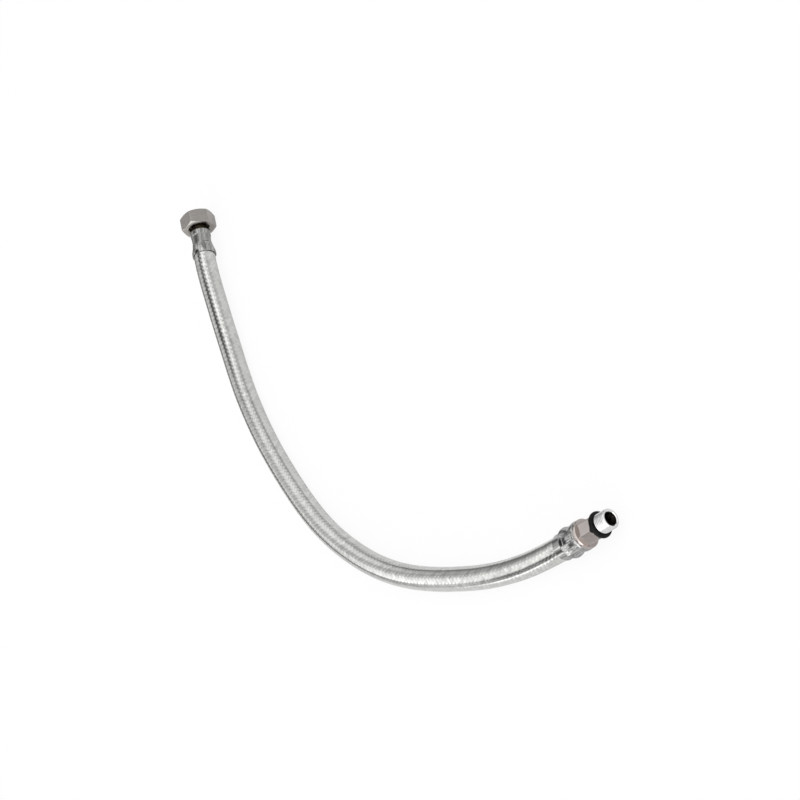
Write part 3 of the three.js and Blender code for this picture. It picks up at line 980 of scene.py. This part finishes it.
class OBJECT_OT_connector_sleeves(bpy.types.Operator):
    """Makes the two crimped ferrules that hold the hose on its stems"""

    bl_idname = "object.connector_sleeves"
    bl_label = "Crimped ferrules"

    def execute(self, context):
        colours = context.scene.connector_colours
        self.nut_sleeve(colours)
        self.tail_sleeve(colours)
        return {"FINISHED"}

    def nut_sleeve(self, colours):
        """The ferrule behind the nut: a rounded end, six crimped flats and a flared skirt."""
        end, mouth, outer, flared, wall = 1.3 * MM, -14.5 * MM, 5.65 * MM, 6.2 * MM, 0.45 * MM
        crown, rim_length, shoulder = 0.9 * MM, 2 * MM, -8.2 * MM
        crimp_low, crimp_high, depth = -8 * MM, -1.6 * MM, 0.5 * MM
        rim = [
            (outer - crown + crown * math.sin(a), end - crown + crown * math.cos(a))
            for a in (math.radians(18 * i) for i in range(6))
        ]
        section = [
            (NIPPLE_NECK_RADIUS + SLIP, FIT),
            (NIPPLE_NECK_RADIUS + SLIP, end),
            *rim,
            (outer, shoulder),
            (flared + wall, mouth + rim_length),
            (flared + wall, mouth),
            (flared, mouth),
            (flared, mouth + ENTRY_DEPTH - SLIP),
            (NUT_PRESSED_RADIUS, mouth + ENTRY_DEPTH + PRESS_TAPER - SLIP),
            (NUT_PRESSED_RADIUS, FIT),
        ]
        sleeve = turned_ring("nut_sleeve", eased(section))
        dies = crimp_dies(NUT_CRIMP_FLATS, outer - depth, depth, crimp_low, crimp_high, NUT_CRIMP_TURN)
        combine(sleeve, dies, "INTERSECT")
        steel = drawn_steel("drawn_steel_nut_sleeve", "nut", colours)
        finish_piece(sleeve, "nut", "hose", steel, "ferrule_steel", "nut_ferrule")

    def tail_sleeve(self, colours):
        """The ferrule behind the tail: a front ring, a waist of sixteen flats, a collar and a thin lip."""
        end, waist_high, waist_low, collar_low, mouth = (h * MM for h in (1.5, -1.4, -6.4, -8.8, -14))
        front, waist, collar, lip, step = (r * MM for r in (7.4, 7.05, 7.75, 6.2, 0.5))
        lip_wall, depth = 0.4 * MM, 0.25 * MM
        section = [
            (TAIL_NECK_RADIUS + SLIP, FIT),
            (TAIL_NECK_RADIUS + SLIP, end),
            (front - step, end),
            (front, end - step),
            (front, waist_high + step),
            (waist, waist_high),
            (waist, waist_low),
            (collar, waist_low - step),
            (collar, collar_low + step),
            (collar - step, collar_low),
            (lip + lip_wall, collar_low),
            (lip + lip_wall, mouth),
            (lip, mouth),
            (lip, mouth + ENTRY_DEPTH - SLIP),
            (TAIL_PRESSED_RADIUS, mouth + ENTRY_DEPTH + PRESS_TAPER - SLIP),
            (TAIL_PRESSED_RADIUS, FIT),
        ]
        sleeve = turned_ring("tail_sleeve", eased(section))
        dies = crimp_dies(TAIL_CRIMP_FLATS, waist - depth, depth, waist_low + step, waist_high - step, 0)
        combine(sleeve, dies, "INTERSECT")
        steel = drawn_steel("drawn_steel_tail_sleeve", "tail", colours)
        finish_piece(sleeve, "tail", "hose", steel, "ferrule_steel", "tail_ferrule")


class OBJECT_OT_connector_tail(bpy.types.Operator):
    """Makes the male tail: barbed stem, shoulder ring, hexagon, seal groove and threaded tip"""

    bl_idname = "object.connector_tail"
    bl_label = "Male tail"

    def execute(self, context):
        sizes, colours = context.scene.connector_sizes, context.scene.connector_colours
        crest, stem_bore, stem, step = 4.05 * MM, 3.05 * MM, 7.2 * MM, 0.5 * MM
        chamfer, overlap = 0.5 * MM, 0.5 * MM
        lead, lead_past = 0.3 * MM, 1.3 * MM
        body = turned_bar(
            "tail_body",
            [
                *barbs(crest, stem),
                (TAIL_NECK_RADIUS, FIT),
                (TAIL_NECK_RADIUS, RING_LOW),
                (RING_RADIUS - EDGE_EASE, RING_LOW),
                (RING_RADIUS, RING_LOW + EDGE_EASE),
                (RING_RADIUS, RING_HIGH - step),
                (RING_RADIUS - step, RING_HIGH),
                (TAIL_NECK_RADIUS, RING_HIGH),
                (TAIL_NECK_RADIUS, THREAD_LOW + overlap),
            ],
        )
        hexagon = hex_bar("tail_hexagon", TAIL_HEX_FLATS, RING_HIGH - step, GROOVE_LOW, TAIL_HEX_FACE_RADIUS)
        combine(body, hexagon, "UNION")
        thread = threaded_bar(
            "tail_thread", TAIL_THREAD_ROOT, TAIL_THREAD_RADIUS, sizes.tail_pitch, THREAD_LOW, TAIL_TIP
        )
        nose = [
            (TAIL_THREAD_RADIUS, THREAD_LOW - PAST),
            (TAIL_THREAD_RADIUS + PAST, THREAD_LOW),
            (TAIL_THREAD_RADIUS + PAST, TAIL_TIP - chamfer - PAST),
            (TAIL_THREAD_RADIUS - chamfer, TAIL_TIP),
            (TAIL_THREAD_RADIUS - chamfer, TAIL_TIP + PAST),
        ]
        combine(thread, turned_bar("nose", nose), "INTERSECT")
        combine(body, thread, "UNION")
        waterway = [
            (stem_bore, -stem - PAST),
            (stem_bore, TAIL_BORE_LOW - TAIL_BORE_RADIUS + stem_bore),
            (TAIL_BORE_RADIUS, TAIL_BORE_LOW),
            (TAIL_BORE_RADIUS, TAIL_TIP - lead),
            (TAIL_BORE_RADIUS + lead_past, TAIL_TIP + PAST),
        ]
        combine(body, turned_bar("waterway", waterway), "DIFFERENCE")
        finish_piece(body, "tail", "hose", polished_chrome(colours), "tail_plating", "male_tail")
        return {"FINISHED"}


class OBJECT_OT_connector_seal(bpy.types.Operator):
    """Makes the rubber ring behind the thread"""

    bl_idname = "object.connector_seal"
    bl_label = "O-ring"

    def execute(self, context):
        colours = context.scene.connector_colours
        clear_selection()
        bpy.ops.mesh.primitive_torus_add(
            major_segments=ROUND_SIDES,
            minor_segments=24,
            major_radius=SEAL_CENTRE_RADIUS,
            minor_radius=SEAL_CORD_RADIUS,
        )
        ring = bpy.context.object
        ring.name = "seal_ring"
        edit(ring)
        bpy.ops.mesh.select_all(action="SELECT")
        bpy.ops.transform.translate(value=(0, 0, SEAL_HEIGHT))
        close_up()
        rubber = moulded_rubber("black_nitrile", colours.seal, 0.42, 5.0)
        finish_piece(ring, "tail", "hose", rubber, "seal_rubber", "o_ring")
        return {"FINISHED"}


class OBJECT_OT_connector_cord(bpy.types.Operator):
    bl_idname = "object.connector_cord"
    bl_label = "Cord"

    def execute(self, context):
        path = HosePath()
        return {"FINISHED"}


def floor_material(colours):
    """A matt floor that keeps the shadow: the camera sees it near paper white, and metal sees it part way."""
    material, tree, shader = new_material("matt_white_floor")
    shader.inputs["Base Color"].default_value = rgba(colours.floor)
    shader.inputs["Roughness"].default_value = 0.9
    glow = add_node(tree, "ShaderNodeEmission", {"Color": (1, 1, 1, 1), "Strength": FLOOR_GLOW})
    rays = add_node(tree, "ShaderNodeLightPath")
    reflected = add_node(
        tree,
        "ShaderNodeMath",
        {"operation": "MAXIMUM"},
        {0: rays.outputs["Is Glossy Ray"], 1: rays.outputs["Is Transmission Ray"]},
    )
    in_metal = add_node(
        tree,
        "ShaderNodeMath",
        {"operation": "MULTIPLY", 1: FLOOR_GLOW_IN_METAL},
        {0: reflected.outputs[0]},
    )
    share = add_node(
        tree,
        "ShaderNodeMath",
        {"operation": "MULTIPLY_ADD", 1: FLOOR_GLOW_SEEN},
        {0: rays.outputs["Is Camera Ray"], 2: in_metal.outputs[0]},
    )
    mixed = add_node(
        tree, "ShaderNodeMixShader", links={0: share.outputs[0], 1: shader.outputs[0], 2: glow.outputs[0]}
    )
    tree.links.new(mixed.outputs[0], tree.nodes["Material Output"].inputs["Surface"])
    return material


# Soft boxes and dark flags round the object, each over those before it: direction, half-width where
# it is full, half-width where it ends (both in degrees) and brightness against white
STUDIO = (
    ((-0.87, -0.49, 0.07), 8, 22, 3.4),
    ((-0.61, -0.78, 0.17), 8, 22, 1.9),
    ((-0.26, -0.95, 0.14), 10, 24, 2.3),
    ((0.66, -0.74, 0.08), 16, 32, 2.4),
    ((0.05, 0.74, 0.67), 13.6, 43.7, 1.05),
    ((0.50, 0.46, 0.74), 1.5, 25, 1.53),
    ((-0.94, -0.08, 0.33), 1.4, 17.7, 5.3),
    ((-0.26, 0.15, 0.95), 20.3, 37.1, 0.04),
    ((-0.63, 0.61, 0.47), 0, 22, 0.41),
    ((-0.58, 0.81, 0.0), 10, 34, 0.15),
    ((-0.88, -0.30, 0.37), 4, 29.3, 0.01),
    ((-0.95, 0.29, -0.09), 15.5, 39.4, 0.1),
    ((-0.66, -0.70, 0.27), 6, 16, 1.05),
    ((-0.64, 0.20, 0.75), 3, 14, 1.09),
    ((-0.776, -0.628, 0.05), 4, 8, 0.2),
)


def studio_world(scene):
    """White walls, brighter towards -X and -Y, with soft boxes and dark flags that the metal shows."""
    world = bpy.data.worlds.new("studio")
    scene.world = world
    world.use_nodes = True
    tree = world.node_tree
    tree.nodes.clear()
    source = add_node(tree, "ShaderNodeTexCoord").outputs["Generated"]
    slope = add_node(
        tree,
        "ShaderNodeVectorMath",
        {"operation": "DOT_PRODUCT", 1: WALL_SLOPE},
        {0: source},
    )
    raised = add_node(
        tree, "ShaderNodeMath", {"operation": "ADD", 1: WALL_LEVEL}, {0: slope.outputs["Value"]}
    )
    level = add_node(
        tree, "ShaderNodeMath", {"operation": "MINIMUM", 1: WALL_CAP}, {0: raised.outputs[0]}
    ).outputs[0]
    for direction, full, end, brightness in STUDIO:
        facing = add_node(
            tree,
            "ShaderNodeVectorMath",
            {"operation": "DOT_PRODUCT", 1: Vector(direction).normalized()},
            {0: source},
        )
        angle = add_node(
            tree, "ShaderNodeMath", {"operation": "ARCCOSINE"}, {0: facing.outputs["Value"]}
        )
        share = add_node(
            tree,
            "ShaderNodeMapRange",
            {
                "interpolation_type": "SMOOTHSTEP",
                "From Min": math.radians(end),
                "From Max": math.radians(full),
            },
            {"Value": angle.outputs[0]},
        )
        level = add_node(
            tree, "ShaderNodeMix", {"data_type": "FLOAT", 3: brightness}, {0: share.outputs[0], 2: level}
        ).outputs[0]
    tent = add_node(tree, "ShaderNodeBackground", {"Strength": 1.0}, {"Color": level})
    # The camera itself sees plain white in place of the walls
    plain = add_node(tree, "ShaderNodeBackground", {"Color": (1, 1, 1, 1), "Strength": 1.0})
    rays = add_node(tree, "ShaderNodeLightPath")
    mixed = add_node(
        tree,
        "ShaderNodeMixShader",
        links={0: rays.outputs["Is Camera Ray"], 1: tent.outputs[0], 2: plain.outputs[0]},
    )
    output = add_node(tree, "ShaderNodeOutputWorld")
    tree.links.new(mixed.outputs[0], output.inputs["Surface"])


class OBJECT_OT_connector_stage(bpy.types.Operator):
    """Sets the floor, the white surroundings and the soft lamp overhead"""

    bl_idname = "object.connector_stage"
    bl_label = "Stage"

    def execute(self, context):
        clear_selection()
        bpy.ops.mesh.primitive_plane_add(size=FLOOR_SIZE, location=(0, 0, 0))
        floor = context.object
        floor.name = "floor"
        floor.data.materials.append(floor_material(context.scene.connector_colours))
        studio_world(context.scene)
        lamp = bpy.data.lights.new("overhead", "AREA")
        lamp.shape = "RECTANGLE"
        lamp.size = LAMP_SIZE
        lamp.size_y = LAMP_SIZE
        lamp.energy = LAMP_POWER
        lamp_object = bpy.data.objects.new("overhead", lamp)
        lamp_object.location = (0, 0, LAMP_HEIGHT)
        lamp_object.visible_glossy = False
        context.scene.collection.objects.link(lamp_object)
        context.scene.view_settings.view_transform = "Standard"
        return {"FINISHED"}


class VIEW3D_PT_connector(bpy.types.Panel):
    """Lists the steps that make the connector"""

    bl_idname = "VIEW3D_PT_connector"
    bl_label = "Tap connector"
    bl_space_type = "VIEW_3D"
    bl_region_type = "UI"
    bl_category = "Tap connector"

    def draw(self, context):
        for step in STEPS:
            self.layout.operator(step.bl_idname)
        for group in (context.scene.connector_sizes, context.scene.connector_colours):
            for name in group.bl_rna.properties.keys():
                if name not in ("rna_type", "name"):
                    self.layout.prop(group, name)


STEPS = (
    OBJECT_OT_connector_camera,
    OBJECT_OT_connector_hose,
    OBJECT_OT_connector_nut,
    OBJECT_OT_connector_washer,
    OBJECT_OT_connector_nipple,
    OBJECT_OT_connector_sleeves,
    OBJECT_OT_connector_tail,
    OBJECT_OT_connector_seal,
    OBJECT_OT_connector_cord,
    OBJECT_OT_connector_stage,
)
CLASSES = (ConnectorSizes, ConnectorColours, *STEPS, VIEW3D_PT_connector)


def register():
    for item in CLASSES:
        bpy.utils.register_class(item)
    bpy.types.Scene.connector_sizes = PointerProperty(type=ConnectorSizes)
    bpy.types.Scene.connector_colours = PointerProperty(type=ConnectorColours)


def unregister():
    del bpy.types.Scene.connector_colours
    del bpy.types.Scene.connector_sizes
    for item in reversed(CLASSES):
        bpy.utils.unregister_class(item)


def main():
    register()
    for step in STEPS:
        group, name = step.bl_idname.split(".")
        getattr(getattr(bpy.ops, group), name)()


if __name__ == "__main__":
    main()
